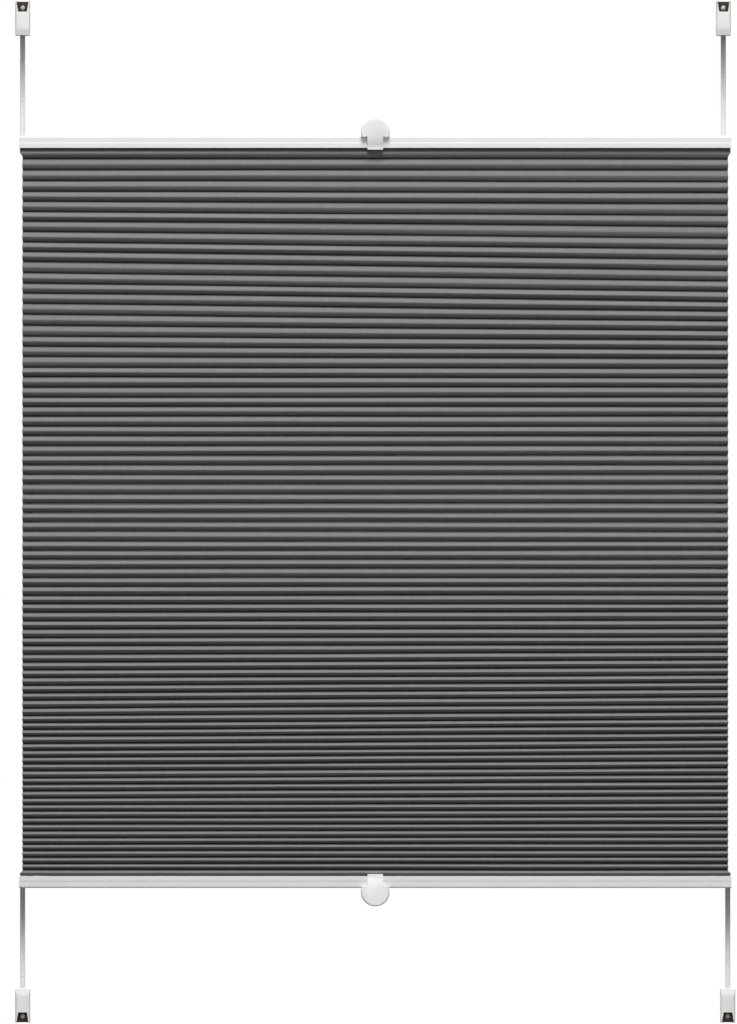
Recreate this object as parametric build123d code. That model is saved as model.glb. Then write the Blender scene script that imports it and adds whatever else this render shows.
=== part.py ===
from build123d import *

import os
from math import cos, pi, sin, sqrt

# Pleated blind clamped to a window sash, in millimetres.
# X runs along the rails, Z is up, and Y points from the room to the window.
# The origin is the middle of the blind's outline, on the room face of the sash.
# Top pieces are drawn, and the bottom ones are their mirror images.

# Blind as a whole
rail_length = 910.0
fabric_drop = 929.6
fabric_end_gap = 4.0  # from a rail's end to the fabric's open side
blind_offset = 13.0  # from the sash face to the middle of rails and fabric
bond_gap = 0.2  # from a rail's face to the fabric's first flat
shoe_clearance = 128.5  # from a rail to the shoes beyond it, at rest

# Honeycomb fabric
mean_pitch = 11.07
pitch_spread = 6.1  # top cell's height less bottom cell's height
sag_depth = 9.5  # how much lower still the flats hang below the middle
sag_start = 0.28  # share of the cells above the sag
sag_end = 0.88
slope_spare = 1.0  # how much longer a slope is than half the top cell
glue_flat = 9.0
fabric_wall = 0.5
glue_wall = 0.8
cord_hole_gap = 0.4

# Rail profile
rail_depth = 25.0
rail_height = 15.3
rail_wall = 1.2
rail_corner = 2.2
lip_reach = 3.2
lip_wall = 1.2
ledge_reach = 3.0
ledge_wall = 1.0
band_height = 6.2  # the band that stands proud along the rail's fabric side
band_depth = 0.3

# Fabric strip and end caps
strip_thickness = 3.0
sliding_gap = 0.2
strip_to_cap = 1.0
cap_flange = 1.8
cap_plug = 27.0
plug_gap = 0.15
collar_wall = 0.9
edge_round = 0.5

# Cords and the posts that turn them
cord_radius = 1.6
strand_spacing = 3.3
cord_plane = 1.7  # each pair's distance from the blind's middle plane
cord_inset = 4.4  # from the rail's end to a pair of strands
top_right_inset = 10.1  # that pair stands further in
fabric_cord_inset = 14.0  # from the rail's end to the pair in the fabric
cord_sides = 6
cord_gap = 0.4
post_radius = 1.2
post_gap = 0.1

# Shoe housing
shoe_width = 18.8
shoe_length = 43.6
shoe_depth = 19.3
shoe_corner = 3.0
shoe_floor = 2.6
taper_length = 10.0
taper_depth = 2.0
recess_outer_width = 15.4
recess_inner_width = 11.2
recess_length = 13.2
liner_wall = 0.9
liner_inset = 0.8
liner_floor_depth = 12.5  # from the shoe's front to the recess's floor
seat_gap = 0.1

# Clamp bracket, jaw, screw and pads
pad_thickness = 1.0
pad_inset = 1.0
bracket_plate = 2.2
bracket_width = 16.0
bracket_end_inset = 0.8
bridge_drop = 12.0  # from the shoe's outer end to the bridge's floor
bridge_wall = 2.0
bridge_length = 14.0
cheek_wall = 2.2
cheek_reach = 31.5  # from the sash face to the cheeks' ends
sash_thickness = 20.0
jaw_wall = 3.0
jaw_drop = 34.0
jaw_top = 2.6
tongue_length = 12.0
jaw_width = 16.0
screw_radius = 2.0
screw_drop = 8.3
screw_tail = 30.0
screw_gap = 0.1
thread_gap = 0.05
head_radius = 3.2
head_height = 2.4

# Anchor and spring in a shoe
well_radius = 5.8
well_length = 24.6
anchor_radius = 5.4
anchor_height = 5.0
anchor_sides = 8
spring_height = 16.0
spring_radius = 4.6
spring_wire = 0.9
spring_turns = 3
spring_steps = 12  # straight lengths in one turn

# Handle
handle_width = 19.8
handle_wall = 2.0
neck_start = 5.0  # height at which the clip's front starts to slope out to the grip
handle_gap = 0.15
hook_drop = 2.5
hook_wall = 2.1
hook_reach = 2.6
top_hook_wall = 1.8
top_hook_reach = 8.0
grip_radius = 18.5
grip_rise = 4.7  # from the rail's outer face to the grip's middle
grip_skirt = 1.0  # how far the grip reaches down over the rail
grip_depth = 5.85
grip_bevel = 1.6

# Worked out from the sizes above
blind_y = -blind_offset
fabric_width = rail_length - 2 * fabric_end_gap
rail_face = fabric_drop / 2 + bond_gap
rail_top = rail_face + rail_height
shoe_end = rail_top + shoe_clearance
shoe_top = shoe_end + shoe_length
inner_half = rail_depth / 2 - rail_wall
mouth_half = inner_half - lip_reach
strip_space = strip_thickness + 2 * sliding_gap
ledge_low = lip_wall + strip_space
ledge_high = ledge_low + ledge_wall
strand_half = strand_spacing / 2
cord_middle = ledge_low + cord_radius + strand_half
bend_inner = post_radius + post_gap + cord_radius
bend_outer = bend_inner + strand_spacing
post_reach = strand_half + bend_inner
slot_half = strand_half + cord_radius + cord_gap
slot_depth = cord_plane + cord_radius + cord_gap
profile_half = rail_length / 2 - cap_flange
plug_start = profile_half - cap_plug
fabric_cord_x = rail_length / 2 - fabric_cord_inset
bracket_face = -pad_thickness - bracket_plate
shoe_front = bracket_face - shoe_depth
bridge_under = -bridge_drop - bridge_wall
jaw_face = sash_thickness + pad_thickness
well_floor = shoe_floor - shoe_length


def block(x, y, z):
    """A block from its low and high X, Y and Z."""
    size = [high - low for low, high in (x, y, z)]
    return Pos(x[0], y[0], z[0]) * Box(*size, align=Align.MIN)


def area(y, height):
    """A rectangle of a rail's section, from its low and high Y and height."""
    size = (y[1] - y[0], height[1] - height[0])
    return Pos(y[0], height[0]) * Rectangle(*size, align=Align.MIN)


def rail_plane(x=0.0):
    """Section plane of the top rail: Y across, height from the face that holds the fabric."""
    return Plane(origin=(x, blind_y, rail_face), x_dir=(0, 1, 0), z_dir=(1, 0, 0))


# Fabric


def flat_levels():
    """Heights of the glued flats, from the top: the cells close up towards the bottom."""
    count = round(fabric_drop / mean_pitch)
    levels = []
    for i in range(count + 1):
        share = i / count
        fall = share * fabric_drop + share * (1 - share) * count * pitch_spread / 2
        sag = min(max((share - sag_start) / (sag_end - sag_start), 0), 1)
        levels.append(fabric_drop / 2 - fall - sag_depth * sin(pi * sag) ** 2)
    return levels


def fabric():
    """One honeycomb: cells with flats glued to their neighbours, open at both ends."""
    levels = flat_levels()
    slope = (levels[0] - levels[1]) / 2 + slope_spare
    flat = glue_flat / 2
    left = -fabric_width / 2

    def ring(points):
        return Wire.make_polygon([Vector(left, blind_y + y, z) for y, z in points])

    front, back, cells = [], [], []
    for top, bottom in zip(levels, levels[1:]):
        half = (top - bottom) / 2
        middle = top - half
        crease = flat + sqrt(slope**2 - half**2)
        front += [(-flat, top), (-crease, middle)]
        back += [(flat, top), (crease, middle)]
        # A slope's wall is thicker measured along Y, because the slope leans.
        lean = (crease - flat) / half
        inner_half_height = half - glue_wall / 2
        wall_in_y = fabric_wall * slope / half
        inner_crease = crease - wall_in_y
        inner_flat = inner_crease - lean * inner_half_height
        cells.append(
            ring(
                [
                    (-inner_flat, middle + inner_half_height),
                    (-inner_crease, middle),
                    (-inner_flat, middle - inner_half_height),
                    (inner_flat, middle - inner_half_height),
                    (inner_crease, middle),
                    (inner_flat, middle + inner_half_height),
                ]
            )
        )
    front.append((-flat, levels[-1]))
    back.append((flat, levels[-1]))
    section = Face(ring(front + back[::-1]), cells)
    honeycomb = Part() + extrude(section, amount=fabric_width, dir=(1, 0, 0))
    return honeycomb - [cord_slot(side) for side in (-1, 1)]


def cord_slot(side):
    """The holes for the pair of strands that passes down one side of the fabric."""
    middle_y = blind_y - side * cord_plane
    depth = cord_radius + cord_gap / 2
    middle_x = side * fabric_cord_x
    length = strand_half + cord_radius + cord_hole_gap
    return block(
        (middle_x - length, middle_x + length),
        (middle_y - depth, middle_y + depth),
        (-fabric_drop, fabric_drop),
    )


# Rails


def rail_outline():
    """Outside of the rail's section: a low step on each side, and two rounded outer corners."""
    half = rail_depth / 2
    points = [
        (-half, 0),
        (half, 0),
        (half, band_height),
        (half - band_depth, band_height + band_depth),
        (half - band_depth, rail_height),
        (band_depth - half, rail_height),
        (band_depth - half, band_height + band_depth),
        (-half, band_height),
    ]
    outline = make_face(Polyline(*points, close=True))
    return fillet(outline.vertices().group_by(Axis.Y)[-1], rail_corner)


def rail_cavity():
    """Inside of the rail's section: cord channel, strip channel and the fabric's mouth."""
    neck = inner_half - ledge_reach
    return (
        area((-inner_half, inner_half), (ledge_high, rail_height - rail_wall))
        + area((-neck, neck), (ledge_low, ledge_high))
        + area((-inner_half, inner_half), (lip_wall, ledge_low))
        + area((-mouth_half, mouth_half), (0, lip_wall))
    )


def collar_space(side, inset, clearance):
    """The way through the rail's outer wall for a cap's collar, open at the rail's end.

    It reaches in past the post, so that the post has room in a low rail too.
    """
    middle = rail_length / 2 - inset
    start = middle - post_reach - post_radius - collar_wall - clearance
    half = slot_depth + collar_wall + clearance
    low = rail_top - rail_wall - 2 * plug_gap
    x = sorted((side * start, side * profile_half))
    return block(x, (blind_y - half, blind_y + half), (low, rail_top))


def rail_profile(left_inset, right_inset):
    """The rail: one extrusion, notched at its ends for the caps' collars."""
    section = rail_outline() - rail_cavity()
    profile = extrude(rail_plane(-profile_half) * section, amount=2 * profile_half)
    notches = [
        collar_space(-1, left_inset, plug_gap),
        collar_space(1, right_inset, plug_gap),
    ]
    return profile - notches


def fabric_strip():
    """The strip that the fabric's first flat is glued to, held behind the rail's lips."""
    wide = inner_half - sliding_gap
    narrow = mouth_half - sliding_gap
    low = lip_wall + sliding_gap
    section = area((-wide, wide), (low, low + strip_thickness))
    section += area((-narrow, narrow), (0, low))
    half = plug_start - strip_to_cap
    return extrude(rail_plane(-half) * section, amount=2 * half)


def guide_posts(inset):
    """The two moulded posts of a right-hand cap: one for each pair of strands."""
    outer = (rail_length / 2 - inset - post_reach, cord_middle + post_reach)
    inner = (fabric_cord_x - post_reach, cord_middle - post_reach)
    post = Rot(90, 0, 0) * Cylinder(post_radius, 2 * slot_depth)
    return [Pos(x, blind_y, rail_face + height) * post for x, height in (outer, inner)]


def end_cap(inset):
    """A right-hand cap: flange, plug with the cords' channel and posts, collar at their exit."""
    cord_x = rail_length / 2 - inset
    low = rail_face + cord_middle - strand_half - cord_radius - cord_gap
    high = rail_face + cord_middle + strand_half + cord_radius + cord_gap
    y = (blind_y - slot_depth, blind_y + slot_depth)
    flange = extrude(rail_plane(profile_half) * rail_outline(), amount=cap_flange)
    plug_section = offset(rail_cavity(), -plug_gap, kind=Kind.INTERSECTION)
    plug = extrude(rail_plane(plug_start) * plug_section, amount=cap_plug)
    cap = flange + plug + collar_space(1, inset, 0)
    exit_x = (cord_x - slot_half, cord_x + slot_half)
    fabric_x = (fabric_cord_x - slot_half, fabric_cord_x + slot_half)
    channel = block((plug_start - 1, exit_x[1]), y, (low, high))
    way_out = block(exit_x, y, (low, rail_top + 1))
    way_in = block(fabric_x, y, (rail_face - 1, high))
    return cap - [channel, way_out, way_in] + guide_posts(inset)


def handle():
    """Clip-on handle: a hooked plate over the rail's front that slopes out to a round grip."""
    back = -rail_depth / 2 - handle_gap
    front = back - handle_wall
    top = rail_height + sliding_gap
    points = [
        (front, -hook_drop),
        (back + hook_reach, -hook_drop),
        (back + hook_reach, hook_wall - hook_drop),
        (back, hook_wall - hook_drop),
        (back, top),
        (back + top_hook_reach, top),
        (back + top_hook_reach, top + top_hook_wall),
        (front, top + top_hook_wall),
    ]
    section = make_face(Polyline(*points, close=True))
    outside = section.vertices().group_by(Axis.X)[0]
    section = fillet(outside, edge_round)
    neck = [
        (front, neck_start),
        (back - grip_depth, rail_height - grip_skirt),
        (back - grip_depth, rail_height),
        (front, rail_height),
    ]
    section += make_face(Polyline(*neck, close=True))
    clip = extrude(rail_plane(-handle_width / 2) * section, amount=handle_width)
    return clip + grip(back)


def grip(back):
    """Round grip with a bevelled rim, cut straight where it meets the rail's front."""
    disc = Cylinder(grip_radius, grip_depth, align=(Align.CENTER, Align.CENTER, Align.MIN))
    disc = chamfer(disc.edges().sort_by(Axis.Z)[-1], grip_bevel)
    below = block(
        (-grip_radius, grip_radius),
        (blind_y - rail_depth, blind_y),
        (rail_top - grip_radius, rail_top - grip_skirt),
    )
    return Pos(0, blind_y + back, rail_top + grip_rise) * Rot(90, 0, 0) * disc - below


# Shoes, drawn with their outer end at Z 0 and the sash face at Y 0


def recess_shape(shrink, y_low, y_high, overshoot=0.0):
    """The recess's trapezoid, smaller by shrink on each side, as a prism along Y."""
    outer = recess_outer_width / 2 - shrink
    inner = recess_inner_width / 2 - shrink
    end = shrink - recess_length
    grow = (outer - inner) / recess_length * overshoot
    points = [
        (-outer - grow, overshoot),
        (-inner, end),
        (inner, end),
        (outer + grow, overshoot),
    ]
    plane = Plane(origin=(0, y_high, 0), x_dir=(1, 0, 0), z_dir=(0, -1, 0))
    trapezoid = plane * make_face(Polyline(*points, close=True))
    return extrude(trapezoid, amount=y_high - y_low)


def shoe_housing():
    """Moulded shoe: tapered towards the cords, with a well for the anchor."""
    outline = Pos(0, shoe_front) * Rectangle(
        shoe_width, shoe_depth, align=(Align.CENTER, Align.MIN)
    )
    outline = fillet(outline.vertices().group_by(Axis.Y)[0], shoe_corner)
    body = extrude(Pos(0, 0, -shoe_length) * outline, amount=shoe_length)
    wedge = make_face(
        Polyline(
            (shoe_front - 1, -shoe_length - 1),
            (shoe_front + taper_depth * (1 + 1 / taper_length), -shoe_length - 1),
            (shoe_front - taper_depth / taper_length, -shoe_length + taper_length + 1),
            (shoe_front - 1, -shoe_length + taper_length + 1),
            close=True,
        )
    )
    side_plane = Plane(origin=(-shoe_width, 0, 0), x_dir=(0, 1, 0), z_dir=(1, 0, 0))
    body -= extrude(side_plane * wedge, amount=2 * shoe_width)
    rims = body.faces().sort_by(Axis.Z)[0].edges().sort_by(Axis.Y)[:-1]
    body = chamfer(rims, edge_round)
    body -= recess_shape(0, shoe_front - 1, bracket_face + 1, overshoot=1)
    well_top = well_floor + well_length
    round_well = Pos(0, blind_y, well_floor) * Cylinder(
        well_radius, well_length, align=(Align.CENTER, Align.CENTER, Align.MIN)
    )
    open_well = block(
        (-well_radius, well_radius), (blind_y, bracket_face + 1), (well_floor, well_top)
    )
    cord_exit = block(
        (-slot_half, slot_half),
        (blind_y - slot_depth, blind_y + slot_depth),
        (-shoe_length - 1, well_floor + 1),
    )
    return body - [round_well, open_well, cord_exit]


def clamp_bracket():
    """Metal bracket: plate on the sash, bridge over its edge, and liner in the recess."""
    half = bracket_width / 2
    top = -bracket_end_inset
    width = (-half, half)
    plate = block(width, (bracket_face, -pad_thickness), (shoe_floor - shoe_length, top))
    bridge = block(width, (-pad_thickness, bridge_length), (bridge_under, -bridge_drop))
    cheeks = []
    for side in (-1, 1):
        x = sorted((side * half, side * (half - cheek_wall)))
        cheeks.append(block(x, (-pad_thickness, cheek_reach), (bridge_under, top)))
    liner = recess_shape(seat_gap, shoe_front + liner_inset, bracket_face)
    liner -= recess_shape(liner_wall, shoe_front, shoe_front + liner_floor_depth, overshoot=1)
    bore = screw_bore(screw_radius + screw_gap, shoe_front, 0)
    return Part() + [plate, bridge, liner] + cheeks - bore


def screw_bore(radius, y_low, y_high):
    """A round hole along the clamp screw's axis."""
    length = y_high - y_low
    return Pos(0, (y_low + y_high) / 2, -screw_drop) * Rot(90, 0, 0) * Cylinder(radius, length)


def clamp_screw():
    """Pan-head screw, with its thread and cross recess left plain."""
    seat = shoe_front + liner_floor_depth - seat_gap
    head = screw_bore(head_radius, seat - head_height, seat)
    return head + screw_bore(screw_radius, seat, screw_tail)


def rear_jaw():
    """The jaw behind the sash, with a tongue that slides between the bracket's cheeks."""
    tongue_half = bracket_width / 2 - cheek_wall - sliding_gap
    tongue_low = -bridge_drop + sliding_gap
    back = jaw_face + jaw_wall
    width = (-tongue_half, tongue_half)
    tongue = block(width, (jaw_face - tongue_length, back), (tongue_low, -jaw_top))
    neck = block(width, (jaw_face, back), (-jaw_drop, -jaw_top))
    plate = block(
        (-jaw_width / 2, jaw_width / 2),
        (jaw_face, back),
        (-jaw_drop, bridge_under - sliding_gap),
    )
    plate = chamfer(plate.edges().filter_by(Axis.Y).group_by(Axis.Z)[0], jaw_wall)
    thread = screw_bore(screw_radius + thread_gap, 0, back + 1)
    return tongue + neck + plate - thread


def pad(y, low):
    """A rubber pad, in from the edges of what carries it."""
    half = bracket_width / 2 - pad_inset
    return block((-half, half), (y, y + pad_thickness), (low + pad_inset, bridge_under - pad_inset))


def cord_anchor(base):
    """The eight-sided plug that two strands end in."""
    outline = RegularPolygon(anchor_radius, anchor_sides)
    return extrude(Pos(0, blind_y, base) * outline, amount=anchor_height)


def tension_spring():
    """Compression spring of square wire, between the shoe's floor and the anchor."""
    height = spring_height - spring_wire - 2 * seat_gap
    count = spring_turns * spring_steps
    points = []
    for i in range(count + 1):
        turn = 2 * pi * i / spring_steps
        points.append((spring_radius * cos(turn), spring_radius * sin(turn), height * i / count))
    coil = Polyline(*points)
    start = Plane(origin=coil @ 0, x_dir=(1, 0, 0), z_dir=coil % 0)
    section = start * Rectangle(spring_wire, spring_wire)
    wire = sweep(section, path=coil, transition=Transition.RIGHT)
    return Pos(0, blind_y, well_floor + seat_gap + spring_wire / 2) * wire


# Cords


def strand(end_x, top_end, bottom_end, plane, step):
    """One strand, down from a top shoe, through both rails and the fabric, to a bottom shoe.

    step is -1 or 1 and says which of the pair it is. It keeps to its side of the other
    all the way, so it takes the small arc round one post and the large arc round the next.
    """
    side = -1 if end_x[0] < 0 else 1
    level = rail_face + cord_middle - side * step * strand_half
    outside = bend_outer if side * step > 0 else bend_inner
    inside = bend_inner if side * step > 0 else bend_outer
    fabric_x = -side * (fabric_cord_x - side * step * strand_half)
    y = blind_y + plane
    points = [
        (end_x[0] + step * strand_half, y, top_end),
        (end_x[0] + step * strand_half, y, level),
        (fabric_x, y, level),
        (fabric_x, y, -level),
        (end_x[1] + step * strand_half, y, -level),
        (end_x[1] + step * strand_half, y, -bottom_end),
    ]
    radii = [outside, inside, inside, outside]
    path = FilletPolyline(*points, radius=radii)
    print("strand", side, step, "radii", radii, "length", round(path.length, 1))
    start = Plane(origin=path @ 0, x_dir=(1, 0, 0), z_dir=path % 0)
    turned = Rot(0, 0, 180 / cord_sides)
    return sweep(start * turned * RegularPolygon(cord_radius, cord_sides), path=path)


def build():
    """Every piece in its place, by node name."""
    pieces = {"honeycomb_fabric": fabric()}
    springs = []
    insets = {
        ("top", "left"): cord_inset,
        ("top", "right"): top_right_inset,
        ("bottom", "left"): cord_inset,
        ("bottom", "right"): cord_inset,
    }
    spring_top = well_floor + spring_height
    anchor_base = {"top": spring_top, "bottom": well_floor}
    for end in ("top", "bottom"):
        rail = {
            "profile": rail_profile(insets[end, "left"], insets[end, "right"]),
            "fabric_strip": fabric_strip(),
            "handle": handle(),
            "left_cap": mirror(end_cap(insets[end, "left"]), about=Plane.YZ),
            "right_cap": end_cap(insets[end, "right"]),
        }
        for name, piece in rail.items():
            if end == "bottom":
                piece = mirror(piece, about=Plane.XY)
            pieces[f"{end}_rail_{name}"] = piece
        for side, name in ((-1, "left"), (1, "right")):
            place = Pos(side * (rail_length / 2 - insets[end, name]), 0, shoe_top)
            shoe = {
                "shoe": shoe_housing(),
                "clamp_bracket": clamp_bracket(),
                "clamp_screw": clamp_screw(),
                "rear_jaw": rear_jaw(),
                "front_pad": pad(-pad_thickness, -shoe_length + shoe_floor),
                "rear_pad": pad(sash_thickness, -jaw_drop),
                "cord_anchor": cord_anchor(anchor_base[end]),
            }
            if end == "top":
                springs.append(place * tension_spring())
            for part, piece in shoe.items():
                piece = place * piece
                if end == "bottom":
                    piece = mirror(piece, about=Plane.XY)
                pieces[f"{end}_{name}_{part}"] = piece
    pieces["tension_springs"] = Compound(springs)
    top_end = shoe_top + anchor_base["top"]
    bottom_end = shoe_top + anchor_base["bottom"]
    for side, name in ((-1, "left"), (1, "right")):
        ends = [side * (rail_length / 2 - insets[end, name]) for end in ("top", "bottom")]
        for step, place in ((-side, "inner"), (side, "outer")):
            pieces[f"cord_{name}_{place}"] = strand(
                ends, top_end, bottom_end, side * cord_plane, step
            )
    return pieces


os.makedirs("parts", exist_ok=True)
for node, shape in build().items():
    export_step(shape, f"parts/{node}.step")
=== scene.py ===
import math
import random

import bpy
import numpy as np
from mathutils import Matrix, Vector


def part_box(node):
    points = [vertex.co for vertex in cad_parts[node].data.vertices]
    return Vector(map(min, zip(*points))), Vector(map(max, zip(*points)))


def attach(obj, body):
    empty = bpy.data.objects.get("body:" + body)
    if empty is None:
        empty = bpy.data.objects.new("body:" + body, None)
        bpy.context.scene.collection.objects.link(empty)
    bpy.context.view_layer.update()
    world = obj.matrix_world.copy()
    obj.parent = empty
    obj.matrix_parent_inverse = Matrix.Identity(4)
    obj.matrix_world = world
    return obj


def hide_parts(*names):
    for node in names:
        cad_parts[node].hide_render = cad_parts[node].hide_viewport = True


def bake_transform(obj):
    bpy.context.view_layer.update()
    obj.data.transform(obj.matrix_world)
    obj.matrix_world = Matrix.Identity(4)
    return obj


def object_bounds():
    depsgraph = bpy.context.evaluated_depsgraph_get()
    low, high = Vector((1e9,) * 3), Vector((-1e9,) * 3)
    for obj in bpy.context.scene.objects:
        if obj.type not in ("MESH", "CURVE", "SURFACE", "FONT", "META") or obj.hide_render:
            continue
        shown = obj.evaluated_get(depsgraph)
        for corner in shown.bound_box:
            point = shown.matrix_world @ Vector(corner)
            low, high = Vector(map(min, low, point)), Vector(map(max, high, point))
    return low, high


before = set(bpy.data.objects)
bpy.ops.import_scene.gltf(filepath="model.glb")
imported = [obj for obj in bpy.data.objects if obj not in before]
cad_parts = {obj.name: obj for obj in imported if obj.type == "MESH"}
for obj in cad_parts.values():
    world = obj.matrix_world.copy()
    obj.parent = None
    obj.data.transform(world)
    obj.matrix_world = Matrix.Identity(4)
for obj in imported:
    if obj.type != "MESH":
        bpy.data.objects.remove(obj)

bl_info = {
    "name": "Pleated Blind",
    "version": (1, 0, 0),
    "blender": (4, 5, 0),
    "location": "View3D > Sidebar > Blind",
    "description": "Dresses a tensioned honeycomb blind: fabric, cords, rails, handles, shoes and clamps",
    "category": "Object",
}

# Places and sizes that come from the frame, in metres
MM = 0.001
CAD_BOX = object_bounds()
FABRIC_LOW, FABRIC_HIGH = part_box("honeycomb_fabric")
BLIND_Y = (FABRIC_LOW.y + FABRIC_HIGH.y) / 2
FABRIC_HALF = FABRIC_HIGH.x
RAIL_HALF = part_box("top_rail_right_cap")[1].x
RAIL_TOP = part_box("top_rail_profile")[1].z
RAIL_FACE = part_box("top_rail_profile")[0].z
CORD_RADIUS = (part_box("cord_left_inner")[1].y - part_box("cord_left_inner")[0].y) / 2
CORD_PLANE = BLIND_Y - (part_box("cord_left_inner")[0].y + CORD_RADIUS)
STRAND_HALF = abs(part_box("cord_left_outer")[0].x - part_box("cord_left_inner")[0].x) / 2
STRIP_TO_CORD = 0.2 * MM  # room between a rail's fabric strip and the strands
CORD_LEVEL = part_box("top_rail_fabric_strip")[1].z + STRIP_TO_CORD + CORD_RADIUS + STRAND_HALF
CORD_INSET = 14 * MM  # from a rail's end to the strands in the fabric
HOLES = (CORD_INSET - RAIL_HALF, RAIL_HALF - CORD_INSET)  # each for the strands of the other side
ENDS = ("top", "bottom")
SIDES = ("left", "right")
CORNERS = [(end, side) for end in ENDS for side in SIDES]

# Finishes of small pieces
STRIP_COLOUR = (0.66, 0.66, 0.64)
ANCHOR_COLOUR = (0.5, 0.5, 0.49)
RUBBER_COLOUR = (0.028, 0.028, 0.03)
EVEN = (1, 1, 1)  # marks of the same length along X, Y and Z
NOISE_SPAN = (0.3, 0.7)  # between which most of a noise's values lie

# Rounded edges of the nodes
WELD_REACH = 0.002 * MM
EDGE_STEPS = 2
EDGE_ANGLE = 35  # degrees, from which an edge is rounded

# Shape of the cells
SLOPE_SHARES = (0.12, 0.26, 0.45, 0.68)  # where a slope has points, from its flat to its crease
SLOPE_GLUE_AND_SHADE = (1.0, 0.8, 0.35, 0.0)  # share of glue soaked in, and of painted shade in the valleys between cells, at those points
FLAT_STEPS = 4  # stretches across a flat
HOLE_STEPS = (2, 1)  # the stretch that is punched, at the left and the right hole
LOWER_FLAT = FLAT_STEPS + 2 * len(SLOPE_SHARES) + 4  # where the lower flat starts on the loop
HOLE_CLEARANCE = 2 * MM  # no even column stands nearer to a hole's edge
ROOT_LIMIT = 0.5  # largest share of a cell's depth that its root takes
CREASE_TIP = 0.45  # share of a crease's rounding that its tip stays behind
LEAST_DEPTH = 0.2  # least depth of a cell, as a share of its slope
MITRE_LIMIT = 0.35  # keeps the inner skin from running away at a sharp fold
LEAST_LENGTH = 1e-9  # keeps two points in one place from dividing by nothing
CLOTH_FOLD = 50  # degrees, from which a fold of the cloth looks sharp
UPPER_TILT_SPAN = (0.15, 0.45)  # heights between which the upper folds hang askew
LOWER_TILT_SPAN = (-0.47, -0.08)  # and the lower ones
STRAY_WAVES = (1, 2, 3.4, 5.7)  # half waves of a fold's stray along the width
FLARE_FULL = 0.42  # share of an end cell's height, from its rail, where its ends spread fully
FLARE_NONE = 0.68  # and where they have stopped spreading
STIFF_CELLS = 0.5  # how much the cells next to a rail or the middle close up, against others

# Shape of the screws and springs
SCREW_RADIUS = 2 * MM
HEAD_HEIGHT = 2.4 * MM
DOME_HEIGHT = 0.9 * MM
HEAD_EDGE = 1.3 * MM  # from the dome's top to the upright side
HEAD_BEVEL = 0.15 * MM
SHANK_TIP = 0.5 * MM  # how long the chamfer at the screw's tip is
SHANK_TAPER = 0.4 * MM  # how much thinner the screw is there
SCREW_SIDES = 36
SCREW_FOLD = 35  # degrees, from which an edge of the screw looks sharp
THREAD_START = 9 * MM  # from the screw's front
THREAD_END = 0.4 * MM  # from its tip
THREAD_STEPS = 18  # straight lengths in a turn
THREAD_ROOT = 0.1 * MM  # how deep the ridge sits in the shank
RIDGE_FOOT = 0.42  # half the ridge's foot, as a share of the pitch
RIDGE_CREST = 0.07  # half its crest
SPRING_STEPS = 16  # straight lengths in a turn
SPRING_END = 0.12  # share of the wire that lies flat at each end

# Stage
FLOOR_HALF = 3.0
FLOOR_COLOUR = (0.86, 0.86, 0.85)
FLOOR_BOUNCE = (0.25, 0.25, 0.25)  # the floor's colour for the light that it throws back up
FADE_START = 0.45  # share of the floor's reach at which it starts to fade to white
SENSOR = 36  # width of the camera's picture, in millimetres


def lean(side):
    """-1 for the left and 1 for the right."""
    return -1 if side == "left" else 1


def rise(end):
    """1 for the top and -1 for the bottom."""
    return 1 if end == "top" else -1


def shoe_middle(end, side):
    """Middle of a shoe along X, where its pair of strands comes out."""
    low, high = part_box(f"{end}_{side}_shoe")
    return (low.x + high.x) / 2


# Settings that a user would change


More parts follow.
